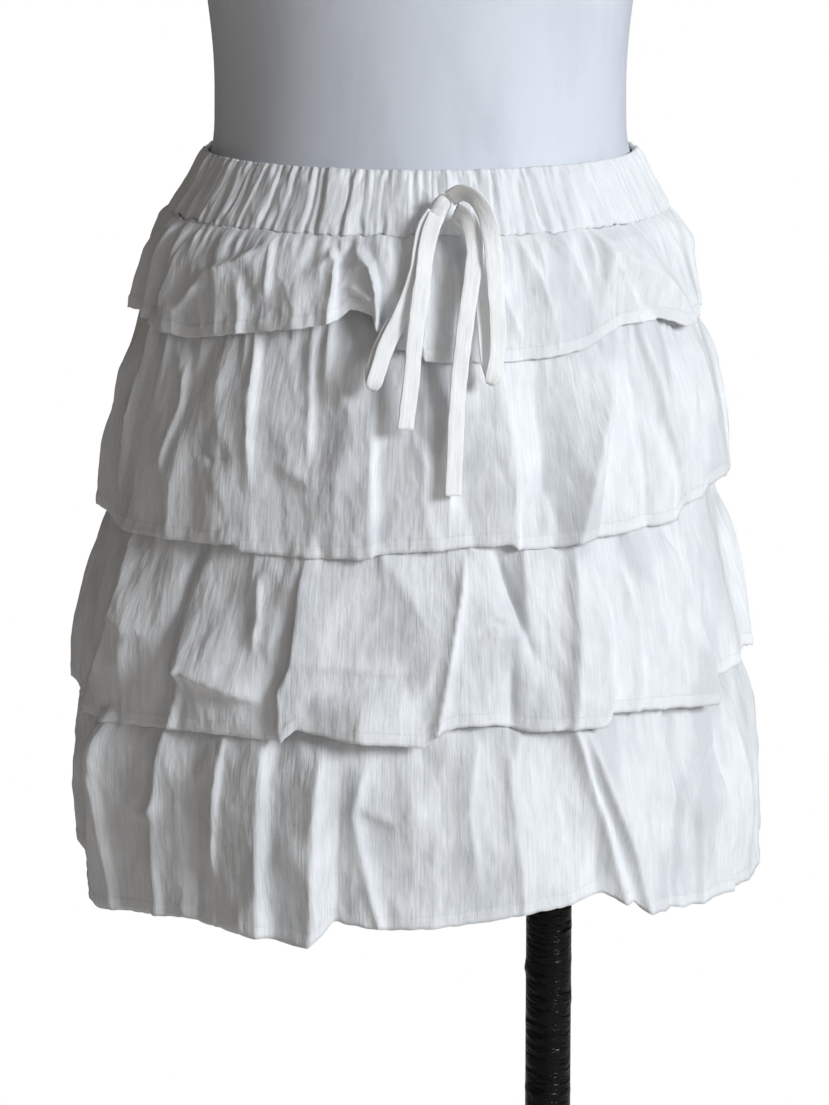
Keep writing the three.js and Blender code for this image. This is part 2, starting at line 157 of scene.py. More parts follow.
def cotton_material(name, white, shade, stitched, shade_through_share):
    material, make, shader = new_material(name, Roughness=0.92, Sheen_Weight=0.12)
    place = make.node("UVMap", {"uv_map": CLOTH_MAP}, {})
    slub = make.cloudy(place.stretched((1.0, 0.045, 1.0)), 750.0, 2.0)
    crinkle = make.cloudy(place.stretched((1.0, 0.30, 1.0)), 210.0, 3.0)
    crumple = make.cloudy(place.stretched((1.0, 0.55, 1.0)), 48.0, 4.0)
    across = make.maths("SINE", place.part(0) * THREADS)
    down = make.maths("SINE", place.part(1) * THREADS)
    weave = across * down
    # Partly the slubs' own colour and partly painted shade: the colour darkens with the same noises that
    # sink the bump, so the hollows are painted darker.
    slub_and_painted_shade = slub * 0.4 + crinkle * 0.3 + crumple * 0.3
    tone = make.node("ValToRGB", {"stops": ((0.38, 0.0), (0.62, 1.0))}, {"Fac": slub_and_painted_shade})
    colour = make.blend(tone, shade, white)
    # Painted shade: random grey patches, for shade from the layer beneath seen through the thin cloth.
    patches = make.cloudy(place.stretched((1.0, 0.5, 1.0)), 26.0, 5.0)
    shade_through_ramp = make.node("ValToRGB", {"stops": ((0.5, 0.0), (0.62, 1.0))}, {"Fac": patches})
    colour = make.blend(shade_through_ramp * shade_through_share, colour, COTTON_SHADE_SEEN_THROUGH)
    height = slub * 0.3 + crinkle * 1.0 + crumple * 1.7 + weave * 0.015
    if stitched:
        dash = make.maths("FRACT", place.part(0) * (1 / STITCH_LENGTH))
        off_line = make.maths("ABSOLUTE", place.part(1) - STITCH_HEIGHT)
        on_line = off_line < STITCH_HALF_WIDTH
        height = height + on_line * (dash < STITCH_SHARE) * 0.35
        colour = make.blend((place.part(1) < STITCH_HEIGHT) * 0.3, colour, HEM_WHITE)
        colour = make.blend(on_line * 0.5, colour, shade)
    bump = make.node("Bump", {}, {"Strength": 0.9, "Distance": 0.9 * MM, "Height": height})
    make.plug(colour, shader.inputs["Base Color"])
    make.plug(bump, shader.inputs["Normal"])
    return material


# The last number is how much painted shade from beneath shows through each cloth.
cotton = cotton_material("cotton", COTTON_WHITE, COTTON_SHADE, True, 0.8)
plain_cotton = cotton_material("plain_cotton", COTTON_WHITE, COTTON_SHADE, False, 0.3)
tape_cotton = cotton_material("tape_cotton", TAPE_WHITE, TAPE_SHADE, False, 0.0)


# Cloth panels: every panel starts as a grid of points, from its top edge down, on the outline of
# the body. Angles are in degrees from the front centre, and grow towards the wearer's left.
CLOTH_THICKNESS = 0.7 * MM


def eased(value, low, high):
    share = np.clip((value - low) / (high - low), 0, 1)
    return share * share * (3 - 2 * share)


def signed_power(wave, power):
    """A wave with its sign kept. A power below 1 flattens its crests, one above sharpens them."""
    return np.sign(wave) * np.abs(wave) ** power


def smooth_curve(places, values, wanted):
    """Values at the wanted places, on a smooth curve through rows that run upwards in place."""
    places = np.asarray(places, float)
    values = np.asarray(values, float)
    steps = np.diff(places)[:, None]
    slopes = np.diff(values, axis=0) / steps
    inner = (slopes[1:] + slopes[:-1]) / 2
    tangents = np.concatenate([slopes[:1], inner, slopes[-1:]])
    at = np.clip(np.searchsorted(places, wanted, side="right") - 1, 0, len(places) - 2)
    span = steps[at]
    t = ((np.asarray(wanted) - places[at])[:, None] / span).clip(0, 1)
    start, end = values[at], values[at + 1]
    return (
        (2 * t**3 - 3 * t**2 + 1) * start
        + (t**3 - 2 * t**2 + t) * span * tangents[at]
        + (3 * t**2 - 2 * t**3) * end
        + (t**3 - t**2) * span * tangents[at + 1]
    )


def outline_sizes(sections, heights):
    """Half widths on the left and right and half depth, in mm, at each height in mm."""
    rows = sorted(sections)
    levels = [row[0] for row in rows]
    sizes = smooth_curve(levels, [row[1:] for row in rows], heights.ravel())
    return sizes.reshape(*heights.shape, 3)


def on_outline(sizes, degrees, out, heights):
    """Points in metres, out mm beyond the outline of the given sizes."""
    turn = np.radians(degrees)
    side, ahead = np.sin(turn), np.cos(turn)
    half = np.where(side < 0, sizes[..., 0], sizes[..., 1])
    x = (half + out) * side
    y = -(sizes[..., 2] + out) * ahead
    return np.stack([x, y, heights], -1) * MM


def grid_faces(rows, columns, is_round):
    """Four-sided faces of a grid of points that runs from its top row down."""
    index = np.arange(rows * columns).reshape(rows, columns)
    right = np.roll(index, -1, axis=1) if is_round else index[:, 1:]
    left = index if is_round else index[:, :-1]
    return np.stack([left[:-1], left[1:], right[1:], right[:-1]], -1).reshape(-1, 4)


def new_piece(name, points, faces, material):
    """A smooth-shaded mesh, linked into the scene."""
    mesh = bpy.data.meshes.new(name)
    mesh.from_pydata(points.reshape(-1, 3).tolist(), [], faces)
    mesh.shade_smooth()
    mesh.materials.append(material)
    piece = bpy.data.objects.new(name, mesh)
    bpy.context.collection.objects.link(piece)
    return piece


def sheet_object(name, points, material, thickness=CLOTH_THICKNESS, is_round=False):
    """A thin shell through a grid of points, with the cloth map laid along it."""
    rows, columns = points.shape[:2]
    faces = grid_faces(rows, columns, is_round)
    piece = new_piece(name, points, faces.tolist(), material)
    middle = points[rows // 2]
    across = np.concatenate([[0], np.cumsum(np.linalg.norm(np.diff(middle, axis=0), axis=1))])
    steps = np.linalg.norm(np.diff(points, axis=0), axis=2)
    below = np.concatenate([np.cumsum(steps[::-1], axis=0)[::-1], np.zeros((1, columns))])
    place = np.stack([np.broadcast_to(across, below.shape), below], -1).reshape(-1, 2)
    corners = place[faces.ravel()]
    if is_round:
        ending = corners.reshape(rows - 1, columns, 4, 2)
        ending[:, -1, 2:, 0] = across[-1] + (across[1] - across[0])
        corners = ending.reshape(-1, 2)
    layer = piece.data.uv_layers.new(name=CLOTH_MAP)
    layer.uv.foreach_set("vector", corners.astype(np.float32).ravel())
    shell = piece.modifiers.new("thickness", "SOLIDIFY")
    shell.thickness = thickness
    shell.offset = -1
    shell.use_even_offset = False
    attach(piece, "root")
    return piece


def crumpled(degrees, heights, radius, seed, size):
    """Thin irregular ridges, between -1 and 1, about size mm apart and longer than wide."""
    x = (np.radians(degrees) * radius / size).ravel()
    z = np.broadcast_to(heights / size * 0.7, degrees.shape).ravel()
    found = [noise.noise(Vector((a, b, seed))) for a, b in zip(x, z)]
    ridges = 1 - 2.2 * np.abs(np.array(found))
    return signed_power(ridges, 1.6).reshape(degrees.shape)


FACET_CELLS = 64  # before the pattern of facets repeats


def faceted(degrees, heights, radius, seed, size):
    """Flat facets with crisp edges, between -1 and 1, about size mm wide and taller than wide."""
    chance = random.Random(seed)
    corners = np.array([chance.uniform(-1, 1) for _ in range(FACET_CELLS**2)])
    corners = corners.reshape(FACET_CELLS, FACET_CELLS)
    x = np.radians(degrees) * radius / size
    z = heights / size * 0.6 + 0 * x
    x, z = x + 0.35 * np.sin(2.3 * z + seed), z + 0.45 * np.sin(1.9 * x + 2 * seed)
    column, row = np.floor(x).astype(int), np.floor(z).astype(int)
    right, up = x - column, z - row
    turned = (column + row) % 2
    right = np.where(turned == 1, 1 - right, right)
    near, far = column + turned, column + 1 - turned
    low_near, low_far, high_near, high_far = (
        corners[i % FACET_CELLS, j % FACET_CELLS]
        for i, j in ((near, row), (far, row), (near, row + 1), (far, row + 1))
    )
    return np.where(
        up > right,
        low_near + (high_near - low_near) * up + (high_far - high_near) * right,
        low_near + (low_far - low_near) * right + (high_far - low_far) * up,
    )


def gathers(degrees, shares, spacing, reach, depth, seed):
    """Folds that start at a gathered seam, uneven in spacing, depth and length, in mm."""
    chance = random.Random(seed)
    total = np.zeros(degrees.shape)
    place = float(degrees.min()) - spacing
    while place < degrees.max() + spacing:
        width = spacing * chance.uniform(0.22, 0.42)
        length = reach * chance.uniform(0.35, 1.5)
        tall = depth * chance.uniform(0.4, 1.3)
        lean = chance.uniform(-1.2, 1.2) * spacing
        distance = (degrees - place - lean * shares) / (width * (1 + shares))
        total += tall * np.exp(-(distance**2)) * (1 - eased(shares, length * 0.2, length))
        place += spacing * chance.uniform(0.6, 1.5)
    return total


PRESSED = 1.15  # 1 gives a fold a knife edge, and 2 a round one
MM_PER_DEGREE = 2.75


def folded(degrees, shares, folds):
    """How far the folds of a table stand out, in mm, and how far each edge rolls over."""
    out = np.zeros(degrees.shape)
    roll = np.zeros(degrees.shape)
    for fold in folds:
        top, hem, bow, start, end, left, right, tall, lap = fold
        centre = top + (hem - top) * shares + bow * np.sin(np.pi * shares)
        off = degrees - centre
        width = np.where(off < 0, left, right)
        crest = np.exp(-(np.abs(off / width) ** PRESSED))
        grown = eased(shares, start, start + 0.3) * (1 - eased(shares, end - 0.2, end + 0.02))
        out += tall * crest * grown
        roll += lap * np.exp(-((off / 3.0) ** 2)) * grown
    return out, roll


def creased(degrees, shares, drop, creases):
    """Pressed creases along paths of (angle, share of the drop), in mm. The first width is to
    the left of a path that runs down and below one that runs right; the second is opposite."""
    out = np.zeros(degrees.shape)
    x, y = degrees * MM_PER_DEGREE, shares * drop
    for tall, first_width, second_width, path in creases:
        nearest = np.full(degrees.shape, np.inf)
        opposite = np.zeros(degrees.shape, bool)
        along_path = np.zeros(degrees.shape)
        corners = [(angle * MM_PER_DEGREE, share * drop) for angle, share in path]
        for step, ((ax, ay), (bx, by)) in enumerate(zip(corners, corners[1:])):
            run, fall = bx - ax, by - ay
            along = (((x - ax) * run + (y - ay) * fall) / (run**2 + fall**2)).clip(0, 1)
            off_x, off_y = x - ax - along * run, y - ay - along * fall
            distance = np.hypot(off_x, off_y)
            closer = distance < nearest
            nearest = np.where(closer, distance, nearest)
            opposite = np.where(closer, off_x * fall - off_y * run > 0, opposite)
            along_path = np.where(closer, (step + along) / (len(path) - 1), along_path)
        width = np.where(opposite, second_width, first_width)
        crest = tall * np.exp(-((nearest / width) ** PRESSED))
        if path[0][1] > 0.1:
            crest = crest * eased(along_path, 0, 0.3)
        if path[-1][1] < 0.98:
            crest = crest * (1 - eased(along_path, 0.7, 1))
        out += crest
    return out


def pushed_clear(points, inner_piece, clearance):
    """Moves points outwards where they would come nearer to the layer inside than clearance."""
    inside = BVHTree.FromPolygons(
        [vertex.co for vertex in inner_piece.data.vertices],
        [tuple(face.vertices) for face in inner_piece.data.polygons],
    )
    flat = points.reshape(-1, 3)
    for point in flat:
        axis = Vector((0, 0, point[2]))
        ray = Vector(point) - axis
        hit = inside.ray_cast(axis, ray.normalized())[0]
        if hit is not None:
            short = (hit - axis).length + clearance - ray.length
            if short > 0:
                point[:2] += np.array(ray.normalized())[:2] * short
    return flat.reshape(points.shape)


# Tiers: straight strips of cotton, each gathered along its top edge and sewn to the foundation,
# and hemmed below. Each has a front and a back panel, seamed at the sides. Folds run down from
# the gathers, and the front panels have sharp pressed creases too.
HEM_DEPTH = STITCH_HEIGHT / MM
HEM_EDGE = 0.8  # mm over which the doubled hem thins to one layer
PANEL_GRIDS = {"front": (430, 60), "back": (300, 44)}  # columns, rows
SKIRT_RADIUS = 165  # mm, for patterns laid round the skirt
SEAM_STANDS_OUT = 1.0  # mm, where a front and a back panel meet
SEAM_TAPER = 9  # degrees over which the folds die out towards that seam
RELIEF = [  # kind, size and height in mm, and what is added to the panel's seed
    (crumpled, 50, 1.8, 0.5), (faceted, 27, 2.3, 7.5), (faceted, 12, 0.9, 14.5), (crumpled, 7, 0.3, 21.5),
]

# A section row: height, half widths on the wearer's right and left, and half depth, in mm. A hem
# row: angle and height. A fold row: angle at the top, angle at the hem, bow between them, where it
# starts and ends on the way down, widths on each side of its crest, height, and roll of the crest.
# A crease row: height, its two widths, and its path.
TIERS = {
    4: {
        "top": 702,
        "sections": [
            (702, 167, 159, 131), (674, 174, 167, 135.5), (640, 179, 173, 140),
            (605, 179, 178, 143), (570, 175, 178.5, 145), (555, 174, 178, 145),
        ],
        "front_hem": [
            (-90, 588), (-77, 585), (-68, 572), (-63, 562), (-53, 565), (-42, 568), (-31, 567),
            (-18.6, 563.5), (-16.6, 569), (-14.5, 576), (-5, 573), (6, 575), (17, 579), (24, 581),
            (31, 586), (34, 579), (37, 579), (40, 572), (50, 569), (73, 571), (80, 582), (90, 580),
        ],
        "back_hem": [(90, 580), (112, 572), (140, 568), (170, 570), (200, 566), (235, 571), (270, 588)],
        "front_folds": [
            (-74, -80, 0, 0.1, 2, 7, 4, 5, 0), (-62, -65, 2, 0.1, 2, 1.3, 10, 13, -0.6),
            (-43, -49, -1, 0.05, 2, 1.5, 1.2, 3.5, 0), (-37, -40, 0, 0.2, 2, 3, 5, -3, 0),
            (-25.5, -27, 0, 0.05, 2, 8, 0.9, 7, 0.6), (-15.5, -18.3, 0, 0.15, 2, 7, 2.2, 11, 0.8),
            (-12, -14, 0, 0.3, 2, 1.2, 4, -3, 0), (-2, -1, 0, 0.2, 0.8, 3, 3, 3, 0),
            (3, 2, 0, 0.3, 2, 5, 4, 3, 0), (14, 17, 0, 0.1, 2, 1.5, 5, 4, -0.3),
            (24, 34, 0, 0.05, 2, 1.4, 1.6, 7, 0.4), (25, 40, 0, 0.1, 2, 1.4, 5, 8, -0.8),
            (30, 30, 0, 0.2, 2, 3, 2, -3.5, 0), (48, 51, 0, -0.2, 0.62, 0.7, 1.2, -8, 0),
            (53, 47, 0, 0.45, 2, 3, 0.9, -6, 0), (54.5, 54, 0, 0.4, 2, 0.8, 5, 5, -0.8),
            (66, 70, 1, 0.1, 2, 4, 5, 5, 0), (78, 76, 0, 0.2, 2, 2, 1.0, 4, 1.0),
        ],
        "front_creases": [
            (4, 10, 1.2, [(-58, 0.15), (-60, 0.5), (-59, 1)]),
            (3.5, 7, 1.2, [(-33, 0.2), (-34, 0.5), (-36, 0.9)]),
            (3, 3, 8, [(-56, 0.55), (-50, 0.62), (-45, 0.55)]),
            (5, 13, 2, [(-8, 0.3), (-10.5, 0.55), (-6.5, 1)]),
            (3, 8, 1.4, [(10, 0.2), (8, 0.55), (10, 0.95)]),
            (3, 3, 7, [(-12, 0.5), (-4, 0.58), (3, 0.52)]),
            (3.5, 8, 1.3, [(60, 0.15), (60, 0.5), (63, 1)]),
            (-3, 4, 7, [(40, 0.5), (46, 0.62), (44, 0.8)]),
            (-3, 1.2, 3, [(62, 0.35), (56, 0.5), (52, 0.62)]),
        ],
        "back_folds": [
            (96, 99, 0, 0.1, 2, 4, 1.2, 6, 0.6), (112, 109, 1, 0.2, 2, 1.2, 6, 7, -0.8),
            (128, 131, 0, 0.1, 2, 5, 5, 7, 0), (141, 143, 0, 0.3, 2, 2, 2, -4, 0),
            (156, 151, 1, 0.05, 2, 1, 6, 7, -0.8), (171, 173, 0, 0.2, 2, 5, 1.1, 6, 0.9),
            (186, 189, -1, 0.1, 2, 4, 4, 5, 0), (203, 199, 0, 0.15, 2, 1, 5, 8, -0.8),
            (221, 224, 0, 0.25, 2, 3, 3, 5, 0), (239, 236, 1, 0.1, 2, 5, 1, 6, 0.8),
            (257, 261, 0, 0.2, 2, 2, 5, 5, 0),
        ],
    },
    3: {
        "top": 790,
        "sections": [
            (790, 154, 150, 124), (763, 161, 155.5, 127.5), (735, 170, 163, 132.5),
            (700, 178.5, 170.5, 138.5), (674, 179, 172, 141), (655, 178, 172, 141),
        ],
        "front_hem": [
            (-90, 676), (-76, 668), (-69, 662), (-56, 663), (-40, 667), (-22, 668), (-19.6, 675),
            (-16, 673), (0.5, 667), (2.5, 673), (6, 677), (12, 677), (18, 673), (30.5, 673),
            (32, 678), (43, 677), (57, 672), (58.8, 684), (68, 687), (75, 694), (82, 690), (90, 684),
        ],
        "back_hem": [(90, 684), (115, 676), (145, 673), (180, 676), (215, 671), (245, 675), (270, 676)],
        "front_folds": [
            (-84, -84, 0, 0.1, 2, 4, 3, 5, 0), (-66, -69, 9, 0.1, 2, 1.2, 6, 8, -1.2),
            (-42, -48, 0, 0.05, 2, 1.4, 2, -5, 0), (-53, -57, 0, 0.3, 2, 4, 3, 3, 0),
            (-33, -35, 0, 0.35, 0.8, 7, 4, 4, 0),
            (-9, -9, 0, 0.64, 2, 9, 8, 8, 0), (11, 23.5, 0, 0.1, 0.74, 1.6, 1.0, -6.5, 0),
            (15.5, 15.5, 0, 0.55, 2, 3, 1.2, -6, 0), (19, 18, 0, 0.0, 0.6, 1.2, 3, 4, 0),
            (30, 26, 0, 0.05, 2, 1.2, 4, 6, -0.5), (33, 31.5, 0, 0.3, 2, 3, 0.8, 5, 1.0),
            (42, 42, 1, 0.2, 2, 4, 4, 3, 0), (48, 57.5, 0, 0.1, 2, 6, 0.9, 7, 1.4),
            (66, 69, 0, 0.2, 2, 3, 3, 3, 0), (80, 77, 0, 0.15, 2, 2, 4, 6, 0),
        ],
        "front_creases": [
            (5.5, 1.0, 22, [(-20.3, 0.2), (-20.6, 0.42), (-20.8, 0.7), (-23, 0.79), (-22.6, 0.88),
                            (-22.3, 1)]),
            (-4, 3, 7, [(-20, 0.83), (-9, 0.78), (1.5, 0.70)]),
            (2, 2, 6, [(-20.6, 0.72), (-10, 0.71), (0.2, 0.71)]),
            (5, 3, 1.5, [(8.4, 0.2), (7.2, 0.42), (4.8, 0.74), (2.8, 1)]),
            (8, 2.5, 15, [(-47, 0.71), (-41, 0.75), (-32.5, 0.81), (-24, 0.85)]),
            (4, 6, 1.2, [(-40.5, 0.72), (-41.5, 0.8), (-44, 1)]),
            (3, 6, 1.2, [(-29, 0.3), (-27.5, 0.5), (-28, 0.68)]),
            (-3, 4, 1.2, [(9, 0.60), (13, 0.54), (19, 0.56)]),
            (3, 3, 7, [(9, 0.62), (15, 0.58), (23, 0.64)]),
            (3.5, 7, 1.5, [(38, 0.25), (40, 0.6), (39, 1)]),
            (3, 4, 8, [(-62, 0.5), (-55, 0.62), (-50, 0.6)]),
        ],
        "back_folds": [
            (97, 94, 0, 0.1, 2, 1.2, 5, 6, -0.8), (114, 118, 0, 0.1, 2, 5, 1.1, 7, 0.9),
            (131, 128, 1, 0.25, 2, 3, 3, 5, 0), (147, 151, 0, 0.1, 2, 1.2, 6, 7, -0.8),
            (166, 163, 0, 0.3, 2, 2, 2, -4, 0), (178, 182, 0, 0.1, 2, 5, 1.2, 7, 0.8),
            (197, 194, 1, 0.15, 2, 4, 4, 5, 0), (214, 218, 0, 0.1, 2, 1, 6, 7, -0.8),
            (231, 228, 0, 0.2, 2, 3, 3, 5, 0), (247, 251, -1, 0.1, 2, 5, 1, 6, 0.8),
        ],
    },
    2: {
        "top": 885,
        "sections": [
            (885, 138, 136, 111), (864, 144.5, 142, 117), (840, 152, 150, 121.5),
            (805, 161, 158, 126.5), (763, 165.5, 160.5, 130.5), (745, 165, 160.5, 130.5),
        ],
        "front_hem": [
            (-90, 768), (-80, 764), (-70, 759), (-56, 760), (-34, 763), (-32.5, 760), (-19, 760),
            (-8.4, 761), (-7, 763), (8, 766), (16, 767), (17.5, 764), (25, 764), (28, 766),
            (38, 767), (54, 769), (55.5, 777), (65, 778), (70, 784), (80, 787), (90, 781),
        ],
        "back_hem": [(90, 781), (105, 770), (135, 763), (165, 766), (195, 761), (230, 765), (270, 768)],
        "front_folds": [
            (-78, -83, 0, 0.1, 2, 4, 3, 4, 0), (-46, -50, 0, 0.3, 2, 4, 4, 3, 0),
            (-14, -15, 0, 0.5, 2, 3, 3, 3, 0), (0, 1, 0, 0.2, 0.9, 5, 4, 3, 0),
            (23, 23, 0, 0.2, 2, 5, 5, -7, 0), (45, 46, 0, 0.1, 2, 3, 2, -4, 0),
            (70, 72, 0, 0.1, 2, 4, 4, 4, 0),
        ],
        "front_creases": [
            (5, 12, 1.5, [(15.5, 0.2), (17, 0.65), (17.5, 1)]),
            (10, 9, 13, [(41, 0.25), (33.5, 0.6), (28.3, 1)]),
            (-4.5, 3, 10, [(42, 0.25), (36.5, 0.6), (33.5, 1)]),
            (5, 2, 14, [(49, 0.1), (51, 0.45), (54, 0.75), (56, 1)]),
            (3, 10, 1.2, [(66, 0.25), (62, 0.6), (61.3, 1)]),
            (4.5, 8, 1.0, [(-34, 0.1), (-33, 0.3), (-32, 0.5), (-31, 0.78)]),
            (5, 9, 1.2, [(-65, 0.1), (-67, 0.5), (-70, 0.9)]),
            (4, 12, 1.2, [(-8.8, 0.35), (-8.4, 0.7), (-8.2, 1)]),
            (3, 6, 1.5, [(-21.5, 0.15), (-20.8, 0.4), (-20, 0.66)]),
            (3, 5, 1.4, [(-52, 0.2), (-50, 0.45), (-54, 0.8)]),
            (-3, 4, 8, [(-46, 0.55), (-40, 0.66), (-35, 0.62)]),
            (3, 6, 2, [(5, 0.3), (4, 0.6), (6, 0.95)]),
            (2.5, 3, 6, [(-28, 0.62), (-20, 0.7), (-13, 0.66)]),
        ],
        "back_folds": [
            (98, 95, 0, 0.1, 2, 1, 5, 6, -0.8), (113, 117, 0, 0.15, 2, 4, 1.2, 6, 0.8),
            (130, 127, 0, 0.1, 2, 4, 4, 5, 0), (146, 150, 1, 0.1, 2, 1.2, 6, 6, -0.9),
            (163, 160, 0, 0.3, 2, 2, 2, -3, 0), (177, 181, 0, 0.1, 2, 5, 1.1, 6, 0.9),
            (195, 192, 0, 0.2, 2, 3, 3, 4, 0), (212, 216, 0, 0.1, 2, 1, 5, 6, -0.8),
            (230, 227, 0, 0.15, 2, 4, 4, 5, 0), (248, 252, 0, 0.1, 2, 5, 1, 6, 0.8),
        ],
    },
    1: {
        "top": 918.7,
        "sections": [
            (918.7, 130.6, 128, 106), (905, 137, 134, 113), (890, 141.5, 138.5, 117),
            (874, 145, 142, 120.5), (864, 146, 142.5, 121), (850, 146, 142.5, 121),
        ],
        "front_hem": [
            (-90, 868), (-74, 870), (-62, 864), (-53, 862), (-36, 869), (-21, 875), (-16.5, 878),
            (-14, 884), (-9, 882), (-7, 868), (-4, 865), (0.5, 864), (1.5, 859), (16, 857),
            (25, 858), (35, 861), (44, 871), (57, 871), (64, 865), (78, 868), (90, 866),
        ],
        "back_hem": [(90, 866), (112, 862), (140, 859), (170, 863), (200, 860), (235, 864), (270, 868)],
        "front_folds": [
            (-80, -80, 0, 0.1, 2, 5, 4, 5, 0), (-58, -62, 0, 0.05, 2, 1.3, 8, 4, -1.0),
            (-26, -25, 0, 0.3, 2, 3, 3, 3, 0), (-4, -4, 0, 0.3, 2, 2, 3, 3, 0),
            (2, 1, 0, 0.2, 2, 0.8, 4, 3, -0.6), (14, 12, 0, 0.2, 2, 4, 4, 3, 0),
            (72, 74, 0, 0.1, 2, 3, 3, 4, 0),
        ],
        "front_creases": [
            (6, 18, 1.5, [(-50, 0.40), (-41, 0.28), (-34, 0.12)]),
            (4, 5, 1.5, [(-48.5, 0.3), (-50, 0.5), (-59, 0.85)]),
            (3.5, 8, 1.2, [(-33, 0.03), (-32, 0.35), (-32, 0.7)]),
            (3, 6, 2, [(-39, 0.35), (-38, 0.7), (-38, 1)]),
            (6, 9, 1.0, [(-20, 0.11), (-17.2, 0.28), (-17.6, 1)]),
            (10, 11, 1.1, [(-14.5, 0.11), (-10, 0.34), (-8.3, 0.68), (-8, 1)]),
            (2.5, 1.5, 3, [(-15.5, 0.64), (-8.6, 0.84)]),
            (5, 9, 1.5, [(-67, 0.05), (-70, 0.5), (-69, 1)]),
            (9, 20, 11, [(38.5, 0.11), (43, 0.2), (52.7, 0.44), (63.7, 0.76), (68, 1)]),
            (-3, 8, 8, [(42, 0.35), (48, 0.65), (56, 1)]),
            (2.5, 5, 1.5, [(15, 0.15), (18, 0.55), (21, 0.85)]),
            (3, 6, 1.5, [(22, 0.02), (25, 0.3), (28, 0.8)]),
            (3, 5, 2, [(31, 0), (34, 0.2), (37, 0.6)]),
            (3, 5, 2, [(43, 0.3), (46, 0.6), (50, 0.9)]),
            (2.5, 4, 2, [(6, 0), (7, 0.4), (6, 1)]),
        ],
        "back_folds": [
            (97, 95, 0, 0.1, 2, 1.2, 5, 5, -0.8), (116, 120, 0, 0.1, 2, 5, 1.2, 7, 0.9),
            (134, 131, 0, 0.1, 2, 4, 4, 5, 0), (152, 156, 0, 0.1, 2, 1.2, 6, 7, -0.9),
            (173, 170, 0, 0.2, 2, 4, 4, 4, 0), (190, 194, 0, 0.1, 2, 5, 1.2, 7, 0.9),
            (211, 208, 0, 0.15, 2, 4, 4, 5, 0), (230, 234, 0, 0.1, 2, 1.2, 6, 6, -0.8),
            (250, 248, 0, 0.2, 2, 4, 4, 4, 0),
        ],
    },
}


def seam_pucker(degrees):
    """How far the band's lower seam wanders up and down where the gathers pull at it, in mm."""
    turn = np.radians(degrees)
    wander = np.array([
        noise.noise(Vector((math.sin(a) * 16, math.cos(a) * 16, 2)))
        + 0.6 * noise.noise(Vector((math.sin(a) * 40, math.cos(a) * 40, 7)))
        for a in turn.ravel()
    ])
    return 1.5 * wander.reshape(turn.shape)


def tier_grid(tier, number, side, first, last):
    """A panel's points, from one side seam to the other, with all its folds and crumples."""
    columns, rows = PANEL_GRIDS[side]
    degrees, shares = np.meshgrid(np.linspace(first, last, columns), np.linspace(0, 1, rows))
    hem = tier[side + "_hem"]
    drop = np.interp(degrees, [row[0] for row in hem], [row[1] for row in hem])
    heights = tier["top"] + (drop - tier["top"]) * shares
    seed = number * 10 + (side == "back")
    gather_reach = 0.55 if number == 1 else 0.35  # the top tier is short, so they cross more of it
    out, roll = folded(degrees, shares, tier[side + "_folds"])
    fall = tier["top"] - np.mean([row[1] for row in hem])
    out += creased(degrees, shares, fall, tier.get(side + "_creases", ()))
    out += gathers(degrees, shares, 3.0, gather_reach, 2.0, seed)
    out += gathers(degrees, shares, 9.0, 1.0, 1.3, seed + 50)
    strength = 0.35 + 0.65 * eased(shares, 0.0, 0.4)
    for kind, size, tall, added in RELIEF:
        out += tall * strength * kind(degrees, heights, SKIRT_RADIUS, seed + added, size)
    to_seam = np.minimum(degrees - degrees.min(), degrees.max() - degrees)
    free = eased(to_seam, 0, SEAM_TAPER)
    out = out * free + SEAM_STANDS_OUT * (1 - free)
    roll = roll * free
    to_hem = heights - drop
    on_hem = 1 - eased(to_hem, HEM_DEPTH - HEM_EDGE, HEM_DEPTH + HEM_EDGE)
    pucker = crumpled(degrees, heights * 0 + seed, SKIRT_RADIUS, seed + 3.5, 7)
    near_stitches = np.exp(-(((to_hem - HEM_DEPTH) / 5.0) ** 2))
    out += 0.4 * on_hem + 0.45 * pucker * near_stitches
    heights = heights + 0.5 * pucker * on_hem
    joined = 1 - eased(shares, 0.0, 0.12)
    out = out * (1 - 0.75 * joined)
    if number == 1:
        heights = heights + seam_pucker(degrees) * (1 - eased(shares, 0, 0.3))
        out -= 0.8 * (1 - eased(shares, 0, 0.06))
    sizes = outline_sizes(tier["sections"], heights)
    return on_outline(sizes, degrees + roll, out, heights)


SIDE_GAP = 0.05  # degrees on each side of a side seam
LAYER_GAP = 1.6 * MM  # least distance from the face of one tier to the face of the next
layer_inside = {}
for number, tier in TIERS.items():
    for side, first, last in (("front", -90, 90), ("back", 90, 270)):
        grid = tier_grid(tier, number, side, first + SIDE_GAP, last - SIDE_GAP)
        if side in layer_inside:
            grid = pushed_clear(grid, layer_inside[side], LAYER_GAP)
        node = f"tier_{number}_{side}"
        panel = sheet_object(node + "_cloth", grid, cotton)
        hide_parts(node)
        layer_inside[side] = panel


# Foundation and shorts: plain cotton under the tiers. The foundation hangs from the waistband
# and carries the gathered edges. The shorts are two halves, each with its own short leg.
FOUNDATION = [
    (918.7, 128.6, 126, 104), (885, 136, 134, 109), (840, 144, 141, 115),
    (790, 151.6, 147.8, 121.6), (745, 158.5, 151.8, 125.2), (702, 164.5, 155.6, 128.6),
]
FOUNDATION_COLUMNS, FOUNDATION_ROWS = 180, 28
degrees, shares = np.meshgrid(
    np.linspace(-180, 180, FOUNDATION_COLUMNS + 1)[:-1], np.linspace(0, 1, FOUNDATION_ROWS)
)
heights = FOUNDATION[0][0] + (FOUNDATION[-1][0] - FOUNDATION[0][0]) * shares
foundation = sheet_object(
    "foundation_cloth",
    on_outline(outline_sizes(FOUNDATION, heights), degrees, 0 * shares, heights),
    plain_cotton, is_round=True,
)
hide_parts("foundation")

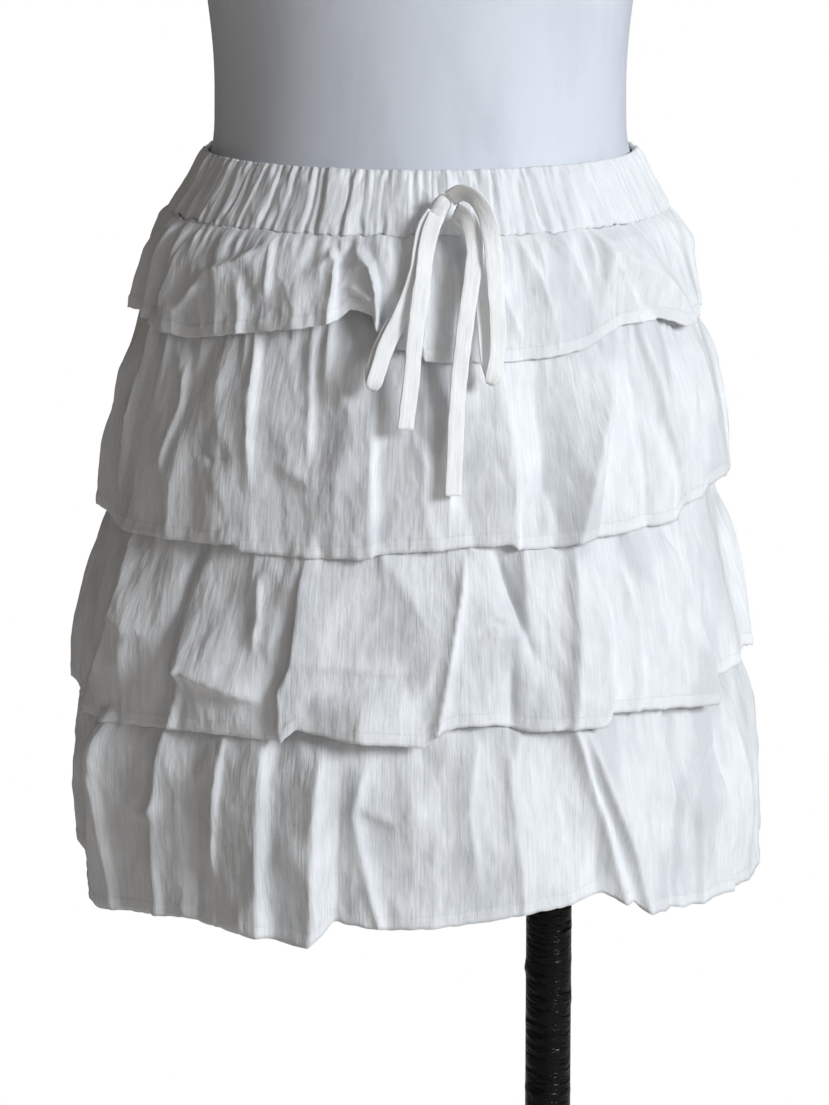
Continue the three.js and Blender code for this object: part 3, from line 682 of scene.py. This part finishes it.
SHORTS = [
    (918.7, 0, 124.4, 101.5), (885, 0, 132.5, 107.4), (840, 0, 139.4, 113.2),
    (790, 0, 146.2, 118.8), (745, 0, 148.4, 119), (700, 6, 142.5, 116), (682, 28, 119, 108),
    (670, 54, 92, 100), (664, 71.2, 73, 94), (636, 73, 73, 90), (606, 74, 74, 89),
]
INSEAM_HALF_GAP = 0.3
LEG_COLUMNS, LEG_ROWS = 110, 64
LEG_RADIUS = 80
SEAT_ENDS, LEG_BEGINS = 680, 650  # mm above the floor, from smooth seat to creased leg
for side, name in ((1, "shorts_right"), (-1, "shorts_left")):
    levels = np.linspace(SHORTS[0][0], SHORTS[-1][0], LEG_ROWS)
    centre, reach, deep = (column[:, None] for column in outline_sizes(SHORTS, levels).T)
    inner = np.clip((centre - INSEAM_HALF_GAP) / reach, 0, 0.999)
    turn = side * np.arccos(-inner) * np.linspace(-1, 1, LEG_COLUMNS)
    heights = levels[:, None] + 0 * turn
    crease = 0.8 * crumpled(np.degrees(turn), heights, LEG_RADIUS, side * 4.5, 30)
    crease *= 1 - eased(heights, LEG_BEGINS, SEAT_ENDS)
    x = np.maximum(INSEAM_HALF_GAP, centre + (reach + crease) * np.cos(turn))
    y = (deep + crease) * np.sin(turn)
    leg = np.stack([side * x, y, heights], -1) * MM
    half = sheet_object(name + "_cloth", leg, cotton)
    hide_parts(name)


# Waistband: a doubled cotton casing drawn up by the elastic inside it into uneven upright
# ridges with narrow valleys. It is pinched in at its seam to the skirt and at its top edge.
BAND = [(950, 112, 112, 90), (936, 119, 118.5, 97), (919, 130.6, 128.2, 106.2)]
BAND_TOP, BAND_BOTTOM = BAND[0][0], BAND[-1][0]
BAND_COLUMNS, BAND_ROWS = 1100, 30
BAND_RADIUS = 125
BAND_THICKNESS = 1.6 * MM
RIDGE_WIDTHS = (2.2, 2.8, 3.6, 4.8, 5.6, 7.0)  # degrees from one valley to the next
RIDGE_FULL_WIDTH = 4.5  # degrees, and narrower ridges are lower
CREST_PLACES = (0.2, 0.5, 0.78, 0.85, 0.9)  # share of the way across a ridge
VALLEY_DEPTH = 1.0


def band_ridges(degrees, shares):
    """Uneven upright ridges between narrow valleys, each of them leaning and bowed, in mm."""
    chance = random.Random(21)
    valleys = [-180.0]
    while valleys[-1] < 180 - RIDGE_WIDTHS[-1] - 1:
        valleys.append(valleys[-1] + chance.choice(RIDGE_WIDTHS))
    valleys = np.array(valleys + [180.0])
    leans = np.array([chance.uniform(-0.8, 0.8) for _ in valleys])
    bows = np.array([chance.uniform(-0.5, 0.5) for _ in valleys])
    talls = np.array([chance.uniform(1.2, 3.0) for _ in valleys])
    crests = np.array([chance.choice(CREST_PLACES) for _ in valleys])
    leans[0] = leans[-1] = bows[0] = bows[-1] = 0
    out = np.zeros(degrees.shape)
    for row, share in enumerate(shares[:, 0]):
        places = valleys + leans * (share - 0.5) * 2 + bows * math.sin(math.pi * share)
        cell = np.searchsorted(places, degrees[row], side="right") - 1
        cell = np.clip(cell, 0, len(places) - 2)
        width = places[cell + 1] - places[cell]
        along = ((degrees[row] - places[cell]) / width).clip(0, 1)
        crest = crests[cell]
        rise = np.where(along < crest, along / crest, (1 - along) / (1 - crest))
        out[row] = talls[cell] * np.minimum(1, width / RIDGE_FULL_WIDTH) * rise**0.75
    return out - VALLEY_DEPTH


degrees, shares = np.meshgrid(
    np.linspace(-180, 180, BAND_COLUMNS + 1)[:-1], np.linspace(0, 1, BAND_ROWS)
)
out = band_ridges(degrees, shares)
out -= gathers(degrees, shares, 1.9, 0.30, 1.3, 31)
out -= gathers(degrees, 1 - shares, 2.3, 0.34, 1.2, 32)
out += 0.45 * crumpled(degrees, shares * (BAND_TOP - BAND_BOTTOM), BAND_RADIUS, 5.5, 9)
pinch = np.exp(-((shares / 0.07) ** 2)) + 0.5 * np.exp(-(((1 - shares) / 0.08) ** 2))
out = out * (1 - 0.45 * pinch.clip(0, 1)) - 0.6 * pinch
heights = BAND_TOP + (BAND_BOTTOM - BAND_TOP) * shares
heights = heights + 0.45 * out * (1 - shares) ** 3 + (seam_pucker(degrees) - 0.4) * shares**4
band = sheet_object(
    "waistband_cloth",
    on_outline(outline_sizes(BAND, heights), degrees, out, heights),
    plain_cotton, thickness=BAND_THICKNESS, is_round=True,
)
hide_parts("waistband")


# Drawstring: a flat cotton tape with firm edges, tied in a bow over a small tight knot where it
# leaves the waistband. It has two loops and two free ends, cut square.
TAPE_WIDTH = 8.5 * MM
TAPE_THICKNESS = 1.1 * MM
TAPE_STEP = 1.6 * MM
FOOT_RINGS = 1.7  # how far from the folded foot of a loop its edges are drawn in
FOOT_NARROWS = 0.42  # share of the width, at the foot itself
TAPE_TURN = 0.12  # how fast the tape turns its face outwards, from ring to ring
TAPES = {
    "drawstring_left_loop": ((
        (7, -108.4, 930.5), (2.8, -112, 924.5), (0, -116.5, 914), (-2, -122, 902),
        (-6, -126, 891), (-11, -129, 880), (-17, -132, 868), (-21, -134, 856),
        (-23, -134.6, 850), (-24, -133, 846.5),
        (-24.5, -131.2, 850), (-23, -130.6, 858), (-18, -128.8, 870), (-11, -125.6, 882),
        (-5, -122, 893), (-1, -117.4, 904), (1.5, -111.6, 915),
    ), "knot"),
    "drawstring_left_end": ((
        (8, -109.6, 930), (5, -114, 923), (2.5, -118.6, 912), (1, -125.6, 900), (-1, -130.4, 887),
        (-3, -132.8, 870), (-4.5, -133.8, 852), (-6, -134.4, 840), (-7.5, -135, 827),
    ), "bare"),
    "drawstring_right_loop": ((
        (14.5, -109, 938), (20, -113, 941.5), (26, -117, 940), (31, -120.5, 934),
        (34, -124, 925), (35.5, -127.5, 914), (36.5, -130, 900), (37.5, -133, 886),
        (38, -134.6, 872), (37, -135.4, 861), (35.5, -135, 853), (34, -133.2, 849.5),
        (33, -131.6, 853), (32, -130.8, 864), (31.5, -128.8, 880), (30.5, -125, 897),
        (28, -119, 911), (24, -112.6, 921), (17.6, -107.6, 929),
    ), "knot"),
    "drawstring_right_end": ((
        (17, -112, 932.4), (22, -117, 930), (25.5, -121, 923), (26.5, -125, 914),
        (25.5, -129, 903), (23.5, -131.6, 890), (21.5, -133.6, 875), (19.5, -134.8, 858),
        (18, -135.2, 840), (17, -136, 817), (16, -137.4, 794),
    ), "bare"),
}
TAPE_SECTION = [  # share of the half thickness, share of the half width
    (-0.6, -1.0), (0.6, -1.0), (1.0, -0.88), (0.82, -0.5), (0.9, 0.0), (0.82, 0.5),
    (1.0, 0.88), (0.6, 1.0), (-0.6, 1.0), (-1.0, 0.88), (-0.82, 0.5), (-0.9, 0.0),
    (-0.82, -0.5), (-1.0, -0.88),
]


def tape_object(name, route, seed):
    """The tape's mesh and the middle of each of its rings. Its face turns slowly outwards."""
    points = np.array(route) * MM
    lengths = np.concatenate([[0], np.cumsum(np.linalg.norm(np.diff(points, axis=0), axis=1))])
    steps = int(lengths[-1] / TAPE_STEP)
    centres = smooth_curve(lengths, points, np.linspace(0, lengths[-1], steps + 1))
    tangents = np.gradient(centres, axis=0)
    face = np.array([0.0, -1.0, 0.0])
    outward = np.array([0.35, -0.9, 0.2])
    foot = int(np.argmin(centres[:, 2]))
    is_folded = foot < steps
    rings = []
    for i, (centre, tangent) in enumerate(zip(centres, tangents)):
        tangent = tangent / np.linalg.norm(tangent)
        face = face - tangent * (face @ tangent)
        face /= np.linalg.norm(face)
        pull = outward - tangent * (outward @ tangent)
        if np.linalg.norm(pull) > 0.5:
            face = face + TAPE_TURN * pull * np.sign(face @ pull)
            face /= np.linalg.norm(face)
        across = np.cross(tangent, face)
        tilt = 0.22 * noise.noise(Vector((i * 0.09, seed, 0)))
        turned = face * math.cos(tilt) + across * math.sin(tilt)
        level = across * math.cos(tilt) - face * math.sin(tilt)
        narrow = 1 + 0.07 * noise.noise(Vector((i * 0.21, seed + 5, 0)))
        if is_folded:
            narrow *= 1 - FOOT_NARROWS * math.exp(-(((i - foot) / FOOT_RINGS) ** 2))
        rings.append([
            centre + turned * thin * TAPE_THICKNESS / 2 + level * wide * TAPE_WIDTH / 2 * narrow
            for thin, wide in TAPE_SECTION
        ])
    count = len(TAPE_SECTION)
    last = (len(rings) - 1) * count
    faces = grid_faces(len(rings), count, True)[:, [0, 3, 2, 1]].tolist()
    faces += [list(range(count))[::-1], list(range(last, last + count))]
    piece = new_piece(name, np.array(rings), faces, tape_cotton)
    layer = piece.data.uv_layers.new(name=CLOTH_MAP)
    across_of = [wide * TAPE_WIDTH / 2 for _, wide in TAPE_SECTION]
    for loop in piece.data.loops:
        ring, place = divmod(loop.vertex_index, count)
        layer.uv[loop.index].vector = (across_of[place], ring * TAPE_STEP)
    return piece, [Vector(centre) for centre in centres], lengths[-1]


for seed, (name, (route, far_end)) in enumerate(TAPES.items()):
    tape, centres, length = tape_object(name + "_tape", route, seed)
    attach(tape, "root")
    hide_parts(name)

KNOT_CENTRE = np.array((9, -106.2, 931.5)) * MM
KNOT_SIZES = np.array((5.0, 4.2, 9.0)) * MM
KNOT_LEAN = math.radians(28)
KNOT_FLATNESS = 0.75  # 1 makes it an egg, and less makes it squarer
KNOT_COLUMNS, KNOT_ROWS = 80, 56
KNOT_TIP = 0.02  # radians left open at each end
WRAPS = 2.0
turns, tilts = np.meshgrid(
    np.linspace(0, 2 * np.pi, KNOT_COLUMNS + 1)[:-1],
    np.linspace(KNOT_TIP, np.pi - KNOT_TIP, KNOT_ROWS),
)
winding = (WRAPS * tilts / np.pi + 0.16 * np.sin(turns + 0.8)) % 1
wraps = 0.87 + 0.13 * np.sin(np.pi * winding) ** 0.4
girth = signed_power(np.sin(tilts), KNOT_FLATNESS) * wraps
knot_points = np.stack([
    girth * signed_power(np.sin(turns), KNOT_FLATNESS),
    -girth * signed_power(np.cos(turns), KNOT_FLATNESS),
    np.cos(tilts) * (0.93 + 0.07 * wraps),
], -1) * KNOT_SIZES
x, z = knot_points[..., 0].copy(), knot_points[..., 2].copy()
knot_points[..., 0] = x * math.cos(KNOT_LEAN) + z * math.sin(KNOT_LEAN)
knot_points[..., 2] = z * math.cos(KNOT_LEAN) - x * math.sin(KNOT_LEAN)
knot_points += KNOT_CENTRE
knot = sheet_object("drawstring_knot_tape", knot_points, tape_cotton, 0.5 * MM, True)
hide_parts("drawstring_knot")


# Dress form: a smooth hard shell in pale lavender grey with a satin face, lightly scuffed where
# clothes have been pulled over it, and a cap of the same stuff on the neck.
FORM = [
    (1398, 46, 40, 52), (1376, 48, 44, 55), (1358, 62, 52, 62), (1344, 104, 60, 70),
    (1328, 142, 66, 76), (1300, 160, 76, 84), (1262, 162, 88, 88), (1222, 152, 104, 88),
    (1188, 141, 117, 86), (1160, 134, 120, 84), (1128, 127, 113, 82), (1090, 119, 100, 81),
    (1040, 111, 89, 80), (1000, 106.5, 85, 79.5), (975, 106, 84, 80.5), (950, 107.6, 85.6, 85.6),
    (935, 113.2, 91, 91.5), (919, 120.8, 96.5, 97.5), (890, 129, 101, 103), (850, 136, 106, 108.5),
    (800, 142.5, 108, 113.5), (760, 141, 103, 111), (730, 132, 92, 101), (714, 120, 80, 90),
    (706, 100, 64, 72),
]


FORM_COLUMNS, FORM_ROWS = 120, 124
CAP = [(1405.3, 0.94), (1404.6, 1.0), (1403.3, 1.05), (1399.4, 1.05), (1398.3, 1.04)]
CAP_COLUMNS = 96
SQUARER = 0.14  # how much squarer the chest and neck are than the round waist


def form_rings(sizes, heights, squareness, columns):
    """Rings in metres, from half width, depth to the front and depth to the back in mm."""
    turn = np.linspace(0, 2 * np.pi, columns + 1)[:-1]
    side = signed_power(np.sin(turn), 1 - squareness)
    ahead = signed_power(np.cos(turn), 1 - squareness)
    deep = np.where(np.cos(turn) > 0, sizes[:, 1:2], sizes[:, 2:3])
    x = sizes[:, :1] * side
    return np.stack([x, -deep * ahead, heights[:, None] + 0 * x], -1) * MM


def closed_rings(name, points, material, node):
    """A solid through rings that run from its top down, closed at both ends."""
    rows, columns = points.shape[:2]
    last = (rows - 1) * columns
    faces = grid_faces(rows, columns, True).tolist()
    faces += [list(range(columns)), list(range(last, last + columns))[::-1]]
    piece = new_piece(name, points, faces, material)
    bevel = piece.modifiers.new("edge", "BEVEL")
    bevel.width = 2 * MM
    bevel.segments = 3
    bevel.limit_method = "ANGLE"
    bevel.angle_limit = math.radians(50)
    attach(piece, "root")
    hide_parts(node)


SHELL_COLOUR = (0.71, 0.74, 0.81, 1)
SHELL_WORN = (0.57, 0.59, 0.655, 1)
shell, make, shader = new_material("form_shell", Coat_Roughness=0.4)
body = make.node("TexCoord", {}, {}, 3)
smears = make.cloudy(body.stretched((1.0, 1.0, 0.35)), 34.0, 5.0)
specks = make.cloudy(body, 420.0, 2.0)
worn = make.node("ValToRGB", {"stops": ((0.52, 0.0), (0.72, 1.0))}, {"Fac": smears})
make.plug(make.blend(worn * 0.55, SHELL_COLOUR, SHELL_WORN), shader.inputs["Base Color"])
make.plug(smears * 0.25 + 0.36, shader.inputs["Roughness"])
dents = smears + specks * 0.2
dented = make.node("Bump", {}, {"Strength": 0.25, "Distance": 0.4 * MM, "Height": dents})
make.plug(dented, shader.inputs["Normal"])
levels = np.linspace(FORM[0][0], FORM[-1][0], FORM_ROWS)
squareness = SQUARER * eased(levels, 1000, 1250)[:, None]
form_points = form_rings(outline_sizes(FORM, levels), levels, squareness, FORM_COLUMNS)
closed_rings("dress_form_shell", form_points, shell, "dress_form")
cap_levels, cap_growth = np.array(CAP).T
cap_sizes = cap_growth[:, None] * np.array(FORM[0][1:])
cap_points = form_rings(cap_sizes, cap_levels, SQUARER, CAP_COLUMNS)
closed_rings("neck_cap_shell", cap_points, shell, "neck_cap")


# Stand: a steel pole to one side of the middle, wrapped in glossy black film that has creased
# round it, on a round base plate, with a flange under the form. Plate and flange are painted.
FILM_BLACK = (0.002, 0.002, 0.002, 1)
FILM_WORN = (0.006, 0.005, 0.005, 1)
CREASES_ROUND, CREASES_UP = 48.0, 150.0  # for each metre
film, make, shader = new_material("pole_wrap", Specular_IOR_Level=0.17)
place = make.node("TexCoord", {}, {}, 3)
slant = place.part(2) + place.part(0) * 0.18
across, back = place.part(0) * CREASES_ROUND, place.part(1) * CREASES_ROUND
spot = make.node("CombineXYZ", {}, {0: across, 1: back, 2: slant * CREASES_UP})
creases = make.cloudy(spot, 1.0, 4.0)
ridged = make.maths("ABSOLUTE", creases - 0.5) * 2.0
make.plug(make.blend(creases, FILM_BLACK, FILM_WORN), shader.inputs["Base Color"])
make.plug(creases * 0.12 + 0.14, shader.inputs["Roughness"])
wrinkled = make.node("Bump", {}, {"Strength": 1.0, "Distance": 1.7 * MM, "Height": 1 - ridged})
make.plug(wrinkled, shader.inputs["Normal"])
pole_low, pole_high = (Vector(corner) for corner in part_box("pole"))
pole_middle = (pole_low + pole_high) / 2
pole_radius = (pole_high.x - pole_low.x) / 2
POLE_COLUMNS, POLE_ROWS = 44, 440
FILM_WRINKLES = 150
WRINKLE_HEIGHT = 0.9
levels = np.linspace(pole_high.z, pole_low.z, POLE_ROWS)
turn = np.linspace(0, 2 * np.pi, POLE_COLUMNS + 1)[:-1]
chance = random.Random(8)
wrinkle = np.zeros((POLE_ROWS, POLE_COLUMNS))
for _ in range(FILM_WRINKLES):
    height = chance.uniform(levels[-1], levels[0])
    facing = chance.uniform(0, 2 * math.pi)
    spread = chance.uniform(0.3, 0.9)
    thick = chance.uniform(1.6, 2.8) * MM
    tilt = chance.uniform(-2, 7) * MM
    off_turn = np.angle(np.exp(1j * (turn - facing)))
    off_level = levels[:, None] - height - tilt * off_turn[None, :]
    ridge = np.exp(-((off_level / thick) ** 2) - (off_turn / spread) ** 2)
    wrinkle += chance.uniform(0.2, 0.6) * ridge
radius = pole_radius - 0.5 * MM + wrinkle.clip(0, WRINKLE_HEIGHT) * MM
pole_points = np.stack([
    pole_middle.x + radius * np.sin(turn), pole_middle.y - radius * np.cos(turn),
    np.broadcast_to(levels[:, None], radius.shape),
], -1)
closed_rings("pole_film", pole_points, film, "pole")

STEEL_DARK = (0.012, 0.012, 0.014, 1)
STEEL_PALE = (0.022, 0.022, 0.025, 1)
steel, make, shader = new_material("painted_steel")
place = make.node("TexCoord", {}, {}, 3)
grain = make.cloudy(place, 900.0, 2.0)
cloud = make.cloudy(place, 9.0, 3.0)
make.plug(make.blend(cloud, STEEL_DARK, STEEL_PALE), shader.inputs["Base Color"])
make.plug(cloud * 0.15 + 0.52, shader.inputs["Roughness"])
textured = make.node("Bump", {}, {"Strength": 0.35, "Distance": 0.15 * MM, "Height": grain})
make.plug(textured, shader.inputs["Normal"])
for node in ("base_plate", "pole_flange"):
    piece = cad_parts[node]
    piece.data.materials.clear()
    piece.data.materials.append(steel)


# Studio: a pale floor, a large soft light high on the wearer's left, and weaker soft light from
# in front, above, behind and the other side, so that the skort's right stays in open shade.
FLOOR_HALF = 30
GLOW_NEAR = 0.35  # share of the floor under the stand that is plain white, and takes no shadow
GLOW_GROWTH = 0.6  # more of it for each metre away
paper, make, shader = new_material("floor_paper", Roughness=0.95, Base_Color=(0.76, 0.73, 0.70, 1))
place = make.node("TexCoord", {}, {}, 3)
from_stand = make.node("VectorMath", {"operation": "LENGTH"}, {0: place}, 1)
share_white = make.maths("MINIMUM", from_stand * GLOW_GROWTH + GLOW_NEAR, 1.0)
seen = make.node("LightPath", {}, {}, 0) * share_white
glow = make.node("Emission", {}, {"Color": (1, 1, 1, 1), "Strength": 1.0})
lit = Wire(paper.node_tree, shader.outputs[0])
mixed = make.node("MixShader", {}, {0: seen, 1: lit, 2: glow})
make.plug(mixed, paper.node_tree.nodes["Material Output"].inputs["Surface"])
floor_corners = np.array([(-1, -1, 0), (1, -1, 0), (1, 1, 0), (-1, 1, 0)]) * FLOOR_HALF
floor = new_piece("floor", floor_corners, [(0, 1, 2, 3)], paper)
floor.location.z = -0.5 * MM


def soft_light(name, place, size, power, colour):
    """A round area light, that many metres across, which faces the skort."""
    light = bpy.data.lights.new(name, "AREA")
    light.shape = "DISK"
    light.size = size
    light.energy = power
    light.color = colour
    lamp = bpy.data.objects.new(name, light)
    bpy.context.collection.objects.link(lamp)
    lamp.location = place
    aim = Vector((0, 0, 0.8)) - Vector(place)
    lamp.rotation_euler = aim.to_track_quat("-Z", "Y").to_euler()


soft_light("key_light", (2.45, -2.25, 2.1), 1.3, 101, (0.90, 0.955, 1.0))
soft_light("front_light", (0.6, -3.4, 1.7), 1.8, 5, (1.0, 1.0, 1.0))
soft_light("top_light", (0.5, -0.4, 3.6), 2.2, 8, (1.0, 1.0, 1.0))
soft_light("left_light", (-2.8, -1.2, 1.5), 1.8, 1.2, (1.0, 0.88, 0.76))
soft_light("back_light", (0.8, 3.0, 2.2), 2.6, 24, (1.0, 1.0, 1.0))
world = bpy.data.worlds.new("studio")
bpy.context.scene.world = world
world.use_nodes = True
world.node_tree.nodes["Background"].inputs["Color"].default_value = (1.0, 0.91, 0.82, 1)
world.node_tree.nodes["Background"].inputs["Strength"].default_value = 0.10
bpy.context.scene.view_settings.view_transform = "Standard"
